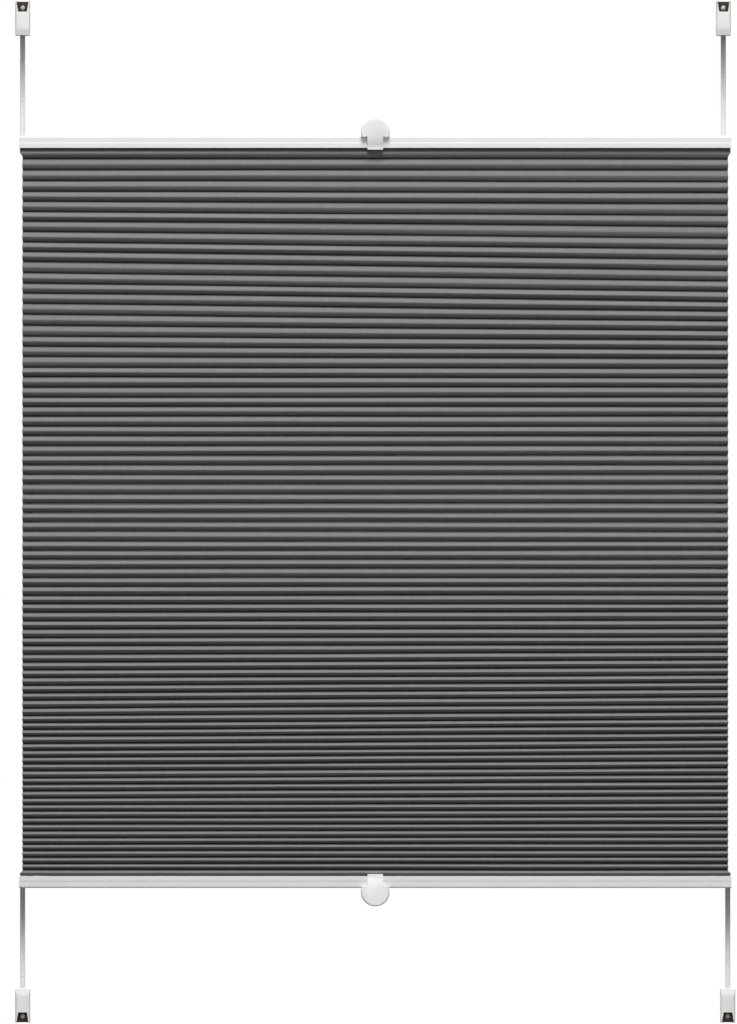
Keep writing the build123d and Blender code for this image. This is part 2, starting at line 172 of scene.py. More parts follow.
class BlindFabricSettings(bpy.types.PropertyGroup):
    """Honeycomb fabric: its cloth and how evenly it hangs."""

    glue_flat: bpy.props.FloatProperty(
        name="Glue flat", description="Width of the flats that join two cells",
        default=9 * MM, unit="LENGTH")
    wall: bpy.props.FloatProperty(
        name="Cloth", description="Thickness of the cloth", default=0.28 * MM, unit="LENGTH")
    bond: bpy.props.FloatProperty(
        name="Glue line", description="Gap that the glue fills between two flats",
        default=0.06 * MM, unit="LENGTH")
    crease: bpy.props.FloatProperty(
        name="Crease", description="How far from its edge a crease starts to round",
        default=0.9 * MM, unit="LENGTH")
    tuck: bpy.props.FloatProperty(
        name="Tuck", description="How far in from a flat's edge its glue ends",
        default=0.9 * MM, unit="LENGTH")
    fullness: bpy.props.FloatProperty(
        name="Fullness", description="How much longer the soft cloth's slopes are than the plain cells'",
        default=0.5 * MM, unit="LENGTH")
    root: bpy.props.FloatProperty(
        name="Root", description="How far a slope runs on flat before it bends down to its crease",
        default=2.7 * MM, unit="LENGTH")
    tilt_top: bpy.props.FloatProperty(
        name="Upper tilt", description="How much lower the folds hang on the right, in the upper third",
        default=11.6 * MM, unit="LENGTH")
    tilt_low: bpy.props.FloatProperty(
        name="Lower tilt", description="How much higher the folds sit on the right, near the foot",
        default=4.6 * MM, unit="LENGTH")
    unevenness: bpy.props.FloatProperty(
        name="Unevenness", description="How far a fold strays from its even place",
        default=0.45 * MM, unit="LENGTH")
    flare: bpy.props.FloatProperty(
        name="Flare", description="How far the cloth spreads where it enters a rail",
        default=3.2 * MM, unit="LENGTH")
    notch: bpy.props.FloatProperty(
        name="Notch", description="How far the flats' ends stand back from the creases' ends",
        default=0.6 * MM, unit="LENGTH")
    columns: bpy.props.IntProperty(
        name="Columns", description="Stretches along the width of one cell", default=36)
    hole_length: bpy.props.FloatProperty(
        name="Punched hole", description="Half length of the hole for a pair of strands",
        default=3.65 * MM, unit="LENGTH")
    colour: bpy.props.FloatVectorProperty(
        name="Cloth colour", description="Grey of the nonwoven outside",
        default=(0.2, 0.199, 0.203), subtype="COLOR")
    # Darkening near the flats: partly glue soaked in, partly painted shade in the valleys between cells.
    soak_and_shade: bpy.props.FloatProperty(
        name="Soak", description="Share of its lightness that cloth keeps where glue soaked in",
        default=0.3, subtype="FACTOR")
    foil: bpy.props.FloatVectorProperty(
        name="Foil colour", description="Silver foil inside the cells",
        default=(0.72, 0.72, 0.73), subtype="COLOR")


class BlindCordSettings(bpy.types.PropertyGroup):
    """Tension cords and springs."""

    sides: bpy.props.IntProperty(
        name="Sides", description="Faces round a strand", default=20)
    overlap: bpy.props.FloatProperty(
        name="Overlap", description="How far a strand runs on inside the rail",
        default=3 * MM, unit="LENGTH")
    corner: bpy.props.FloatProperty(
        name="Corner", description="Where the bend round a post starts, from its corner",
        default=5 * MM, unit="LENGTH")
    colour: bpy.props.FloatVectorProperty(
        name="Cord colour", description="Grey of the braided cords",
        default=(0.56, 0.56, 0.56), subtype="COLOR")
    spring_wire: bpy.props.FloatProperty(
        name="Spring wire", description="Radius of the spring's round wire",
        default=0.45 * MM, unit="LENGTH")
    spring_turns: bpy.props.IntProperty(
        name="Spring turns", description="Turns of one tension spring", default=6)


class BlindHardwareSettings(bpy.types.PropertyGroup):
    """Rails, handles, shoes, clamps and screws."""

    powder_coat: bpy.props.FloatVectorProperty(
        name="Rail colour", description="White powder coat of the rails",
        default=(0.82, 0.82, 0.815), subtype="COLOR")
    moulded: bpy.props.FloatVectorProperty(
        name="Moulding colour", description="White of the shoes and end caps",
        default=(0.86, 0.86, 0.85), subtype="COLOR")
    handle: bpy.props.FloatVectorProperty(
        name="Handle colour", description="Warm white of the handles",
        default=(0.9, 0.9, 0.89), subtype="COLOR")
    # Painted shade: the clamps line the shoes' recesses, so this dark plating also stands in for the
    # shade there.
    bronze: bpy.props.FloatVectorProperty(
        name="Clamp colour", description="Dark bronze plating of the clamps",
        default=(0.035, 0.028, 0.023), subtype="COLOR")
    zinc: bpy.props.FloatVectorProperty(
        name="Screw colour", description="Bright zinc of the screws and springs",
        default=(0.4, 0.375, 0.345), subtype="COLOR")
    edge: bpy.props.FloatProperty(
        name="Edge", description="Rounding of moulded edges", default=0.3 * MM, unit="LENGTH")
    metal_edge: bpy.props.FloatProperty(
        name="Metal edge", description="Rounding of pressed and sawn edges",
        default=0.12 * MM, unit="LENGTH")
    thread_pitch: bpy.props.FloatProperty(
        name="Thread pitch", description="Travel of a clamp screw in one turn",
        default=0.7 * MM, unit="LENGTH")
    thread_depth: bpy.props.FloatProperty(
        name="Thread depth", description="Depth of the clamp screw's thread",
        default=0.32 * MM, unit="LENGTH")


class BlindStageSettings(bpy.types.PropertyGroup):
    """Floor, light and camera."""

    view_height: bpy.props.FloatProperty(
        name="View height", description="Height that the camera takes in at the blind",
        default=1.3089, unit="LENGTH")
    view_x: bpy.props.FloatProperty(
        name="View centre X", description="Where the camera looks, along the rails",
        default=-8.6 * MM, unit="LENGTH")
    lens: bpy.props.FloatProperty(
        name="Lens", description="Focal length of the camera", default=400, unit="CAMERA")
    floor_drop: bpy.props.FloatProperty(
        name="Floor drop", description="Floor's distance below the lower shoes",
        default=0.45, unit="LENGTH")
    floor_reach: bpy.props.FloatProperty(
        name="Floor reach", description="Radius at which the floor has faded to white",
        default=1.3, unit="LENGTH")
    ambient: bpy.props.FloatProperty(
        name="Ambient", description="Strength of the even light from all round", default=0.04)
    key: bpy.props.FloatProperty(
        name="Key light", description="Power of the light high in front", default=1040,
        unit="POWER")
    fill: bpy.props.FloatProperty(
        name="Fill light", description="Power of the weaker light low in front", default=90,
        unit="POWER")
    back: bpy.props.FloatProperty(
        name="Back light", description="Power of the light behind, for views from there",
        default=200, unit="POWER")


SETTINGS = {
    "blind_fabric": BlindFabricSettings,
    "blind_cords": BlindCordSettings,
    "blind_hardware": BlindHardwareSettings,
    "blind_stage": BlindStageSettings,
}


# Nodes of a material


def new_finish(name, colour, roughness, metallic=0.0):
    """A material with its main shader set, and that shader."""
    material = bpy.data.materials.new(name)
    material.use_nodes = True
    shader = material.node_tree.nodes["Principled BSDF"]
    shader.inputs["Base Color"].default_value = (*colour, 1)
    shader.inputs["Roughness"].default_value = roughness
    shader.inputs["Metallic"].default_value = metallic
    return material, shader


def add(material, kind, **values):
    """A node of that kind, with its inputs set or linked by name."""
    node = material.node_tree.nodes.new(kind)
    for name, value in values.items():
        name = name.replace("_", " ")
        if isinstance(value, bpy.types.NodeSocket):
            material.node_tree.links.new(value, node.inputs[name])
        else:
            node.inputs[name].default_value = value
    return node


def place(material, stretch=EVEN):
    """Positions on the object, stretched along each axis."""
    spot = add(material, "ShaderNodeTexCoord")
    return add(material, "ShaderNodeMapping", Vector=spot.outputs["Object"], Scale=stretch).outputs[0]


def grain(material, size, detail=3.0, stretch=EVEN):
    """Noise whose marks are about that size, in metres."""
    spot = place(material, stretch)
    return add(material, "ShaderNodeTexNoise", Vector=spot, Scale=1 / size, Detail=detail).outputs["Fac"]


def band(material, value, low, high):
    """A noise's value, moved to run from low to high."""
    node = add(material, "ShaderNodeMapRange", Value=value, To_Min=low, To_Max=high)
    for name, bound in zip(("From Min", "From Max"), NOISE_SPAN):
        node.inputs[name].default_value = bound
    return node.outputs[0]


def tint(material, shader, value, colour, low, high):
    """Varies a colour's lightness by a noise, between two shares of it, and gives it back."""
    ramp = add(material, "ShaderNodeValToRGB", Fac=value)
    for stop, position, share in zip(ramp.color_ramp.elements, NOISE_SPAN, (low, high)):
        stop.position = position
        stop.color = (*[min(1, c * share) for c in colour], 1)
    material.node_tree.links.new(ramp.outputs[0], shader.inputs["Base Color"])
    return ramp.outputs[0]


def relief(material, shader, heights):
    """Bumps the shader by (height socket, depth in metres, strength) in turn."""
    normal = None
    for height, depth, strength in heights:
        values = {"Height": height, "Distance": depth, "Strength": strength}
        if normal is not None:
            values["Normal"] = normal
        normal = add(material, "ShaderNodeBump", **values).outputs[0]
    material.node_tree.links.new(normal, shader.inputs["Normal"])


# Finishes


def nonwoven_finish(settings):
    """Pressed fibres: mottled grey with fine stray threads, darker where glue has soaked in, with painted
    shade in the valleys between the cells.
    """
    material, shader = new_finish("grey_nonwoven", settings.colour, roughness=0.88)
    clouds = grain(material, 9 * MM, detail=2)
    fleck = grain(material, 1.6 * MM, detail=4)
    fibres = grain(material, 0.9 * MM, stretch=(0.16, 1, 1))
    mixed = add(material, "ShaderNodeMix", Factor=0.55)
    links = material.node_tree.links
    links.new(fleck, mixed.inputs["A"])
    links.new(fibres, mixed.inputs["B"])
    speckled = add(material, "ShaderNodeMix", Factor=0.25)
    links.new(mixed.outputs["Result"], speckled.inputs["A"])
    links.new(clouds, speckled.inputs["B"])
    unsoaked_unshaded = tint(material, shader, speckled.outputs["Result"], settings.colour, low=0.87, high=1.13)
    # Darkens the cloth near the flats: glue soaked in, and painted shade in the valleys between cells.
    glue = add(material, "ShaderNodeAttribute")
    glue.attribute_name = "glue"
    darker = add(
        material, "ShaderNodeMapRange", Value=glue.outputs["Fac"], To_Min=1.0, To_Max=settings.soak_and_shade
    )
    soaked_and_shaded = add(material, "ShaderNodeHueSaturation", Color=unsoaked_unshaded, Value=darker.outputs[0])
    links.new(soaked_and_shaded.outputs[0], shader.inputs["Base Color"])
    relief(material, shader, [(fibres, 0.12 * MM, 0.5), (fleck, 0.1 * MM, 0.35)])
    shader.inputs["Sheen Weight"].default_value = 0.03
    shader.inputs["Sheen Roughness"].default_value = 0.5
    shader.inputs["Specular IOR Level"].default_value = 0.12
    return material


def foil_finish(settings):
    """Crinkled silver foil on the inside of the cells."""
    material, shader = new_finish("silver_foil", settings.foil, roughness=0.34, metallic=0.85)
    crinkle = add(
        material, "ShaderNodeTexVoronoi", Vector=place(material, (0.5, 1, 1)), Scale=1 / (3 * MM)
    ).outputs["Distance"]
    creases = grain(material, 5 * MM, detail=4)
    tint(material, shader, creases, settings.foil, low=0.82, high=1.1)
    relief(material, shader, [(crinkle, 0.25 * MM, 0.5), (creases, 0.5 * MM, 0.6)])
    return material


def braid_finish(settings):
    """Braided cord: two sets of slanting threads that cross."""
    material, shader = new_finish("braided_cord", settings.colour, roughness=0.7)
    heights = []
    for slant in (-1, 1):
        spot = add(material, "ShaderNodeTexCoord").outputs["Object"]
        angle = (0, slant * math.radians(38), 0)
        turned = add(material, "ShaderNodeMapping", Vector=spot, Rotation=angle)
        thread = 1.9 * MM * math.tau  # the wave's scale counts in radians
        wave = add(
            material, "ShaderNodeTexWave", Vector=turned.outputs[0],
            Scale=1 / thread, Distortion=0.6, Detail=1,
        )
        wave.bands_direction = "Z"
        heights.append((wave.outputs["Fac"], 0.18 * MM, 0.7))
    fuzz = grain(material, 0.5 * MM)
    heights.append((fuzz, 0.08 * MM, 0.4))
    tint(material, shader, fuzz, settings.colour, low=0.82, high=1.16)
    relief(material, shader, heights)
    shader.inputs["Sheen Weight"].default_value = 0.2
    return material


def powder_finish(settings):
    """White powder coat with a faint orange peel."""
    material, shader = new_finish("white_powder_coat", settings.powder_coat, roughness=0.38)
    peel = grain(material, 0.8 * MM, detail=2)
    clouds = grain(material, 35 * MM, detail=2)
    tint(material, shader, clouds, settings.powder_coat, low=0.985, high=1.01)
    relief(material, shader, [(peel, 0.03 * MM, 0.25)])
    return material


def moulded_finish(name, colour, roughness, spark):
    """Moulded plastic: fine spark-eroded skin and a slight flow of tone."""
    material, shader = new_finish(name, colour, roughness)
    skin = grain(material, spark)
    flow = grain(material, 14 * MM, detail=2, stretch=(1, 1, 0.5))
    tint(material, shader, flow, colour, low=0.965, high=1.02)
    uneven = band(material, skin, roughness - 0.04, roughness + 0.08)
    material.node_tree.links.new(uneven, shader.inputs["Roughness"])
    relief(material, shader, [(skin, 0.03 * MM, 0.3)])
    shader.inputs["IOR"].default_value = 1.46
    return material


def plated_finish(name, colour, roughness, stretch=EVEN):
    """Plated steel with fine marks, or with the lines of its rolling where they are stretched."""
    material, shader = new_finish(name, colour, roughness, metallic=0.9)
    lines = grain(material, 0.7 * MM, stretch=stretch)
    stain = grain(material, 6 * MM)
    tint(material, shader, stain, colour, low=0.8, high=1.25)
    uneven = band(material, lines, roughness - 0.07, roughness + 0.12)
    material.node_tree.links.new(uneven, shader.inputs["Roughness"])
    relief(material, shader, [(lines, 0.02 * MM, 0.4)])
    return material


def rubber_finish():
    """Matt black pad with a fine cast skin."""
    material, shader = new_finish("black_rubber", RUBBER_COLOUR, roughness=0.82)
    skin = grain(material, 0.6 * MM)
    tint(material, shader, skin, RUBBER_COLOUR, low=0.8, high=1.3)
    relief(material, shader, [(skin, 0.08 * MM, 0.5)])
    return material


# Meshes


def put(name, data):
    """A new object in the scene, of that mesh, curve, lamp or camera."""
    thing = bpy.data.objects.new(name, data)
    bpy.context.scene.collection.objects.link(thing)
    return thing


def new_piece(name, points, faces, materials, shades=None):
    """A smooth-shaded object from points and faces, with its materials."""
    mesh = bpy.data.meshes.new(name)
    mesh.from_pydata([tuple(p) for p in points], [], faces)
    for material in materials:
        mesh.materials.append(material)
    if shades is not None:
        mesh.polygons.foreach_set("material_index", shades)
    mesh.polygons.foreach_set("use_smooth", [True] * len(mesh.polygons))
    mesh.update()
    return put(name, mesh)


def new_wire(name, radius, material):
    """An empty curve whose lines will be round wires of that radius."""
    curve = bpy.data.curves.new(name, "CURVE")
    curve.dimensions = "3D"
    curve.bevel_depth = radius
    curve.bevel_resolution = 3
    curve.use_fill_caps = True
    curve.materials.append(material)
    return curve


def sharpen(piece, degrees):
    """Keeps edges sharper than that angle crisp, in a smooth-shaded mesh."""
    piece.data.set_sharp_from_angle(angle=math.radians(degrees))


def lathe(profile, sides):
    """Points and faces of a profile of (radius, place) pairs turned about Y, with both ends closed."""
    points, faces = [], []
    for radius, at in profile:
        for k in range(sides):
            turn = math.tau * k / sides
            points.append((radius * math.cos(turn), at, radius * math.sin(turn)))
    for ring in range(len(profile) - 1):
        for k in range(sides):
            after = (k + 1) % sides
            low, high = ring * sides, (ring + 1) * sides
            faces.append((low + k, low + after, high + after, high + k))
    faces.append(tuple(range(sides)))
    last = (len(profile) - 1) * sides
    faces.append(tuple(range(last + sides - 1, last - 1, -1)))
    return points, faces


def soften(name, width, material):
    """Gives a CAD node its finish and rounds its edges by that much."""
    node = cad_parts[name]
    node.data.materials.clear()
    node.data.materials.append(material)
    weld = node.modifiers.new("weld", "WELD")
    weld.merge_threshold = WELD_REACH
    bevel = node.modifiers.new("edges", "BEVEL")
    bevel.width = width
    bevel.segments = EDGE_STEPS
    bevel.limit_method = "ANGLE"
    bevel.angle_limit = math.radians(EDGE_ANGLE)
    node.modifiers.new("shading", "WEIGHTED_NORMAL")
    node.data.polygons.foreach_set("use_smooth", [True] * len(node.data.polygons))


# Honeycomb fabric


def fabric_levels(settings):
    """Heights of the glued flats, from the top, read from the frame's fabric."""
    edge = BLIND_Y - settings.glue_flat / 2
    near = 0.02 * MM
    heights = set()
    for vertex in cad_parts["honeycomb_fabric"].data.vertices:
        on_edge = abs(vertex.co.y - edge) < near and abs(vertex.co.x - FABRIC_LOW.x) < near
        if on_edge:
            heights.add(round(vertex.co.z / near))
    return [h * near for h in sorted(heights, reverse=True)]


def slope_length(settings, levels):
    """Length of cloth in one slope of the frame's fabric, read from its topmost cell."""
    half = (levels[0] - levels[1]) / 2
    crease = max(
        BLIND_Y - v.co.y
        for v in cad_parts["honeycomb_fabric"].data.vertices
        if v.co.z > levels[1] + half / 2
    )
    return math.hypot(half, crease - settings.glue_flat / 2)


def bump_between(z, low, high):
    """A smooth rise and fall between two heights."""
    share = np.clip((z - low) / (high - low), 0, 1)
    return np.sin(np.pi * share) ** 2


def tilt(settings, x, z):
    """How far the folds stray from level at a place, as the cloth hangs a little askew."""
    upper = bump_between(z, *UPPER_TILT_SPAN) * settings.tilt_top
    lower = bump_between(z, *LOWER_TILT_SPAN) * settings.tilt_low
    return (lower - upper) * x / (2 * FABRIC_HALF)


def wander(columns, rng, reach):
    """A smooth stray along the width, of that reach."""
    total = np.zeros(len(columns))
    for waves in STRAY_WAVES:
        phase = rng.uniform(0, math.tau)
        height = rng.uniform(-1, 1) / waves
        total += height * np.sin(columns / FABRIC_HALF * waves * math.pi / 2 + phase)
    return total * reach


def fabric_columns(settings):
    """Places along the width, with the edges of the punched holes among them."""
    even = np.linspace(-FABRIC_HALF, FABRIC_HALF, settings.columns + 1)
    holes = [pair + sign * settings.hole_length for pair in HOLES for sign in (-1, 1)]
    kept = [x for x in even if all(abs(x - hole) > HOLE_CLEARANCE for hole in holes)]
    return np.array(sorted(kept + holes))


def cell_profile(settings, top, bottom, depth):
    """The outer skin's loop at each column, as Y and Z: over the top flat and round by the back."""
    flat = settings.glue_flat / 2
    middle = (top + bottom) / 2
    hole = CORD_PLANE + CORD_RADIUS
    glued = flat - settings.tuck
    across = (-glued, -hole, 0.0, hole, glued)
    crease = flat + depth
    half = (top - bottom) / 2
    cut = settings.crease / np.hypot(depth, half)
    lead = np.minimum(settings.root, ROOT_LIMIT * depth)
    rounding = (depth - lead) * cut
    loop = [(y, top) for y in across]
    for side in (1, -1):
        slope = []
        for share in SLOPE_SHARES:
            rest = 1 - share
            y = rest**2 * glued + 2 * share * rest * (flat + lead) + share**2 * crease
            slope.append((side * y, half * (1 - share**2)))
        slope.append((side * (crease - rounding), half * cut))
        tip = (side * (crease - rounding * CREASE_TIP), np.zeros(len(top)))
        folded = slope + [tip] + [(y, -z) for y, z in reversed(slope)]
        loop += [(y, middle + side * z) for y, z in folded]
        if side == 1:
            loop += [(y, bottom) for y in reversed(across)]
    y = np.array([np.broadcast_to(point[0], len(top)) for point in loop]).T
    z = np.array([np.broadcast_to(point[1], len(top)) for point in loop]).T
    return y, z


def inner_skin(y, z, wall):
    """The loop moved inwards by the wall, mitred at its folds."""
    dy = np.roll(y, -1, 1) - y
    dz = np.roll(z, -1, 1) - z
    length = np.maximum(np.hypot(dy, dz), LEAST_LENGTH)
    normal_y, normal_z = -dz / length, dy / length
    before_y, before_z = np.roll(normal_y, 1, 1), np.roll(normal_z, 1, 1)
    share = np.maximum(1 + normal_y * before_y + normal_z * before_z, MITRE_LIMIT)
    return y - wall * (normal_y + before_y) / share, z - wall * (normal_z + before_z) / share


def cell_mesh(settings, x, y, z):
    """Closed double-walled tube of cloth with punched holes, and each face's material number."""
    inner_y, inner_z = inner_skin(y, z, settings.wall)
    columns, around = y.shape
    skins = []
    for skin_y, skin_z in ((y, z), (inner_y, inner_z)):
        grid = np.stack([x, skin_y + BLIND_Y, skin_z], axis=2)
        skins.append(grid.reshape(-1, 3))
    points = np.concatenate(skins)
    offset = columns * around
    kept = np.ones((columns - 1, around), bool)
    middle = (x[:-1, 0] + x[1:, 0]) / 2
    for hole, step in zip(HOLES, HOLE_STEPS):
        punched = np.abs(middle - hole) < settings.hole_length
        kept[punched, step] = False
        kept[punched, mirrored_step(step)] = False
    faces, shades = [], []

    def corner(i, j, skin):
        return skin * offset + i * around + j % around

    def wall_between(a, b):
        faces.append((a[0], b[0], b[1], a[1]))
        shades.append(0)

    for i in range(columns - 1):
        for j in range(around):
            if not kept[i, j]:
                continue
            quad = [(i, j), (i, j + 1), (i + 1, j + 1), (i + 1, j)]
            faces.append(tuple(corner(a, b, 0) for a, b in quad))
            shades.append(0)
            faces.append(tuple(corner(a, b, 1) for a, b in reversed(quad)))
            shades.append(1)
            edges = (
                (quad[1], quad[0], i == 0 or not kept[i - 1, j]),
                (quad[3], quad[2], i == columns - 2 or not kept[i + 1, j]),
                (quad[0], quad[3], not kept[i, (j - 1) % around]),
                (quad[2], quad[1], not kept[i, (j + 1) % around]),
            )
            for a, b, opened in edges:
                if opened:
                    wall_between(
                        (corner(*a, 0), corner(*a, 1)),
                        (corner(*b, 0), corner(*b, 1)),
                    )
    return points, faces, shades


def mirrored_step(step):
    """The step on a cell's lower flat that lies under that step on its upper flat."""
    return LOWER_FLAT + FLAT_STEPS - 1 - step


def glue_and_shade_shares():
    """How much glue has soaked into each point of a cell's loop, which also paints shade into the
    valleys: all on the flats, none at a crease.
    """
    slope = [*SLOPE_GLUE_AND_SHADE, 0.0]
    return ([1.0] * (FLAT_STEPS + 1) + slope + [0.0] + slope[::-1]) * 2


def middle_flat(levels):
    """Number of the flat that stays in place: the one nearest to the middle between the rails."""
    return min(range(len(levels)), key=lambda index: abs(levels[index]))


def blend_shares(levels):
    """How far each flat follows the shoes instead of its rail: 0 at the rail, 1 at the middle."""
    still = middle_flat(levels)
    shares = [0.0] * len(levels)
    for order in (range(0, still + 1), range(len(levels) - 1, still - 1, -1)):
        steps = [abs(levels[b] - levels[a]) for a, b in zip(order, order[1:])]
        steps[0] *= STIFF_CELLS
        steps[-1] *= STIFF_CELLS
        total = sum(steps)
        run = 0.0
        for index, step in zip(order[1:], steps):
            run += step
            shares[index] = run / total
    return shares


def blend_cell(piece):
    """Bakes a cell's place into its mesh; it is not blended between its rail and the shoes."""
    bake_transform(piece)


def flare(settings, z, index, levels):
    """How far the cloth's ends spread at a height, where the end cells enter their rails."""
    last = len(levels) - 2
    if index not in (0, last):
        return 0.0
    rail = levels[0] if index == 0 else levels[-1]
    share = np.abs(z - rail) / (levels[index] - levels[index + 1])
    return settings.flare * np.clip((FLARE_NONE - share) / (FLARE_NONE - FLARE_FULL), 0, 1)


def flat_rows(settings, columns, levels, rng):
    """Height of each glued flat at each column: askew and uneven, but straight in the rails."""
    rows = []
    for level in levels:
        row = level + tilt(settings, columns, level)
        if level not in (levels[0], levels[-1]):
            row += rng.uniform(-1, 1) * settings.unevenness + wander(columns, rng, settings.unevenness)
        rows.append(row)
    return rows


def fabric_cell(settings, index, columns, levels, rows, slope, rng, materials):
    """One cell between two rows of flats, with the cloth of its slopes at their full length."""
    top = rows[index] - settings.bond / 2
    bottom = rows[index + 1] + settings.bond / 2
    half = (top - bottom) / 2
    depth = np.sqrt(np.maximum(slope**2 - half**2, (LEAST_DEPTH * slope) ** 2))
    depth += wander(columns, rng, settings.unevenness)
    y, z = cell_profile(settings, top, bottom, depth)
    x = np.repeat(columns[:, None], y.shape[1], axis=1)
    at_end = np.sign(x) * np.isclose(np.abs(x), FABRIC_HALF)
    from_crease = (z - (top + bottom)[:, None] / 2) / half[:, None]
    spread = flare(settings, z, index, levels)
    x = x + at_end * (spread - settings.notch * from_crease**2)
    points, faces, shades = cell_mesh(settings, x, y, z)
    piece = new_piece(f"cell_{index + 1:02d}", points, faces, materials, shades)
    # Darkening at each point: glue soaked in, and painted shade in the valleys between cells.
    glue = piece.data.attributes.new("glue", "FLOAT", "POINT")
    glue.data.foreach_set("value", np.tile(glue_and_shade_shares(), len(points) // y.shape[1]))
    sharpen(piece, CLOTH_FOLD)
    return piece


def dress_fabric(settings):
    """All the cells, each a sheet of its own, one under the other."""
    rng = random.Random(84)
    levels = fabric_levels(settings)
    slope = slope_length(settings, levels) + settings.fullness
    materials = [nonwoven_finish(settings), foil_finish(settings)]
    columns = fabric_columns(settings)
    rows = flat_rows(settings, columns, levels, rng)
    shares = blend_shares(levels)
    for index in range(len(levels) - 1):
        piece = fabric_cell(settings, index, columns, levels, rows, slope, rng, materials)
        if index < middle_flat(levels):
            blend_cell(piece)
        else:
            blend_cell(piece)
        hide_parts("honeycomb_fabric")


# Cords


def strand_tube(settings, name, x, y, start, stop, material):
    """A straight upright strand between two heights."""
    low, high = sorted((start, stop))
    points, faces = lathe([(CORD_RADIUS, low), (CORD_RADIUS, high)], settings.sides)
    upright = [(px + x, pz + y, along) for px, along, pz in points]
    return new_piece(name, upright, [face[::-1] for face in faces], [material])


def dress_cords(settings):
    """Both strands of each side, at the top and at the bottom."""
    material = braid_finish(settings)
    for side in SIDES:
        for strand, step in (("inner", -lean(side)), ("outer", lean(side))):
            for end in ENDS:
                node = f"cord_{side}_{strand}"
                for piece in strand_stretches(settings, node, side, step, end, material):
                    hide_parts(node)


def strand_stretches(settings, node, side, step, end, material):
    """Half a strand in stretches: outside, across the rail, and in the fabric on the other side."""
    up = rise(end)
    rail = f"{end}_rail"
    y = BLIND_Y + lean(side) * CORD_PLANE
    outside_x = shoe_middle(end, side) + step * STRAND_HALF
    fabric_x = (HOLES[0] if side == "right" else HOLES[1]) + step * STRAND_HALF
    low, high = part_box(node)
    tip = high.z if end == "top" else low.z
    outside_z = up * (RAIL_TOP - settings.overlap)
    outer = strand_tube(settings, f"{node}_{end}_stretch", outside_x, y, outside_z, tip, material)
    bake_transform(outer)
    level = up * (CORD_LEVEL - lean(side) * step * STRAND_HALF)
    fabric_z = up * (RAIL_FACE + settings.overlap)
    starts, ends = (outside_x, outside_z), (fabric_x, fabric_z)
    run = rail_run(settings, f"{node}_{end}_run", starts, ends, y, level, material)
    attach(run, rail)
    inner = strand_tube(settings, f"{node}_{end}_fabric", fabric_x, y, 0, fabric_z, material)
    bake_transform(inner)
    return outer, run, inner


def rail_run(settings, name, starts, ends, y, level, material):
    """A strand's way through a rail, round the posts in its end caps."""
    outside_x, outside_z = starts
    fabric_x, fabric_z = ends
    toward = math.copysign(settings.corner, fabric_x - outside_x)
    lift = math.copysign(settings.corner, outside_z - level)
    line = [
        (outside_x, outside_z),
        (outside_x, level + min(lift, outside_z - level, key=abs)),
        (outside_x, level),
        (outside_x + toward, level),
        (fabric_x - toward, level),
        (fabric_x, level),
        (fabric_x, level - min(lift, level - fabric_z, key=abs)),
        (fabric_x, fabric_z),
    ]
    curve = new_wire(name, CORD_RADIUS, material)
    spline = curve.splines.new("NURBS")
    spline.points.add(len(line) - 1)
    for point, (px, pz) in zip(spline.points, line):
        point.co = (px, y, pz, 1)
    spline.use_endpoint_u = True
    spline.order_u = 3
    return put(name, curve)


# Hardware


def dress_rails(settings):
    """Powder-coated profiles with their strips and end caps."""
    coat = powder_finish(settings)
    strip = moulded_finish("strip_plastic", STRIP_COLOUR, roughness=0.5, spark=0.5 * MM)
    cap = moulded_finish("white_moulding", settings.moulded, roughness=0.42, spark=0.45 * MM)
    for end in ENDS:
        soften(f"{end}_rail_profile", settings.metal_edge, coat)
        soften(f"{end}_rail_fabric_strip", settings.metal_edge, strip)
        for side in SIDES:
            soften(f"{end}_rail_{side}_cap", settings.metal_edge, cap)


def dress_handles(settings):
    """Clip-on handles, smooth and a little warmer than the rails."""
    plastic = moulded_finish("handle_plastic", settings.handle, roughness=0.3, spark=0.7 * MM)
    for end in ENDS:
        soften(f"{end}_rail_handle", settings.edge, plastic)


def dress_shoes(settings):
    """Moulded shoes with the anchors inside them."""
    white = moulded_finish("shoe_moulding", settings.moulded, roughness=0.4, spark=0.45 * MM)
    grey = moulded_finish("anchor_moulding", ANCHOR_COLOUR, roughness=0.5, spark=0.4 * MM)
    for end, side in CORNERS:
        soften(f"{end}_{side}_shoe", settings.edge, white)
        soften(f"{end}_{side}_cord_anchor", settings.edge, grey)


def dress_clamps(settings):
    """Plated brackets and jaws with their rubber pads; the plating is kept very dark, partly as painted
    shade in the shoes' recesses.
    """
    # Very dark plating: partly the clamps' own colour, partly painted shade in the shoes' recesses.
    bronze = plated_finish("dark_bronze_and_recess_shade", settings.bronze, roughness=0.5, stretch=(1, 0.1, 1))
    rubber = rubber_finish()
    for end, side in CORNERS:
        for name in ("clamp_bracket", "rear_jaw"):
            soften(f"{end}_{side}_{name}", settings.metal_edge, bronze)
        for name in ("front_pad", "rear_pad"):
            soften(f"{end}_{side}_{name}", settings.metal_edge, rubber)


# Clamp screws


def screw_profile(settings, low, high):
    """Head and shank of a pan-head screw as (radius, place along Y) pairs, front first."""
    head = (high.x - low.x) / 2
    shoulder = low.y + HEAD_HEIGHT
    shank = SCREW_RADIUS - settings.thread_depth
    angles = np.linspace(0.05, 1.45, 9)
    dome = [(head * math.sin(a), low.y + DOME_HEIGHT * (1 - math.cos(a))) for a in angles]
    return dome + [
        (head, low.y + HEAD_EDGE),
        (head, shoulder - HEAD_BEVEL),
        (head - HEAD_BEVEL, shoulder),
        (shank, shoulder),
        (shank, high.y - SHANK_TIP),
        (shank - SHANK_TAPER, high.y),
    ]


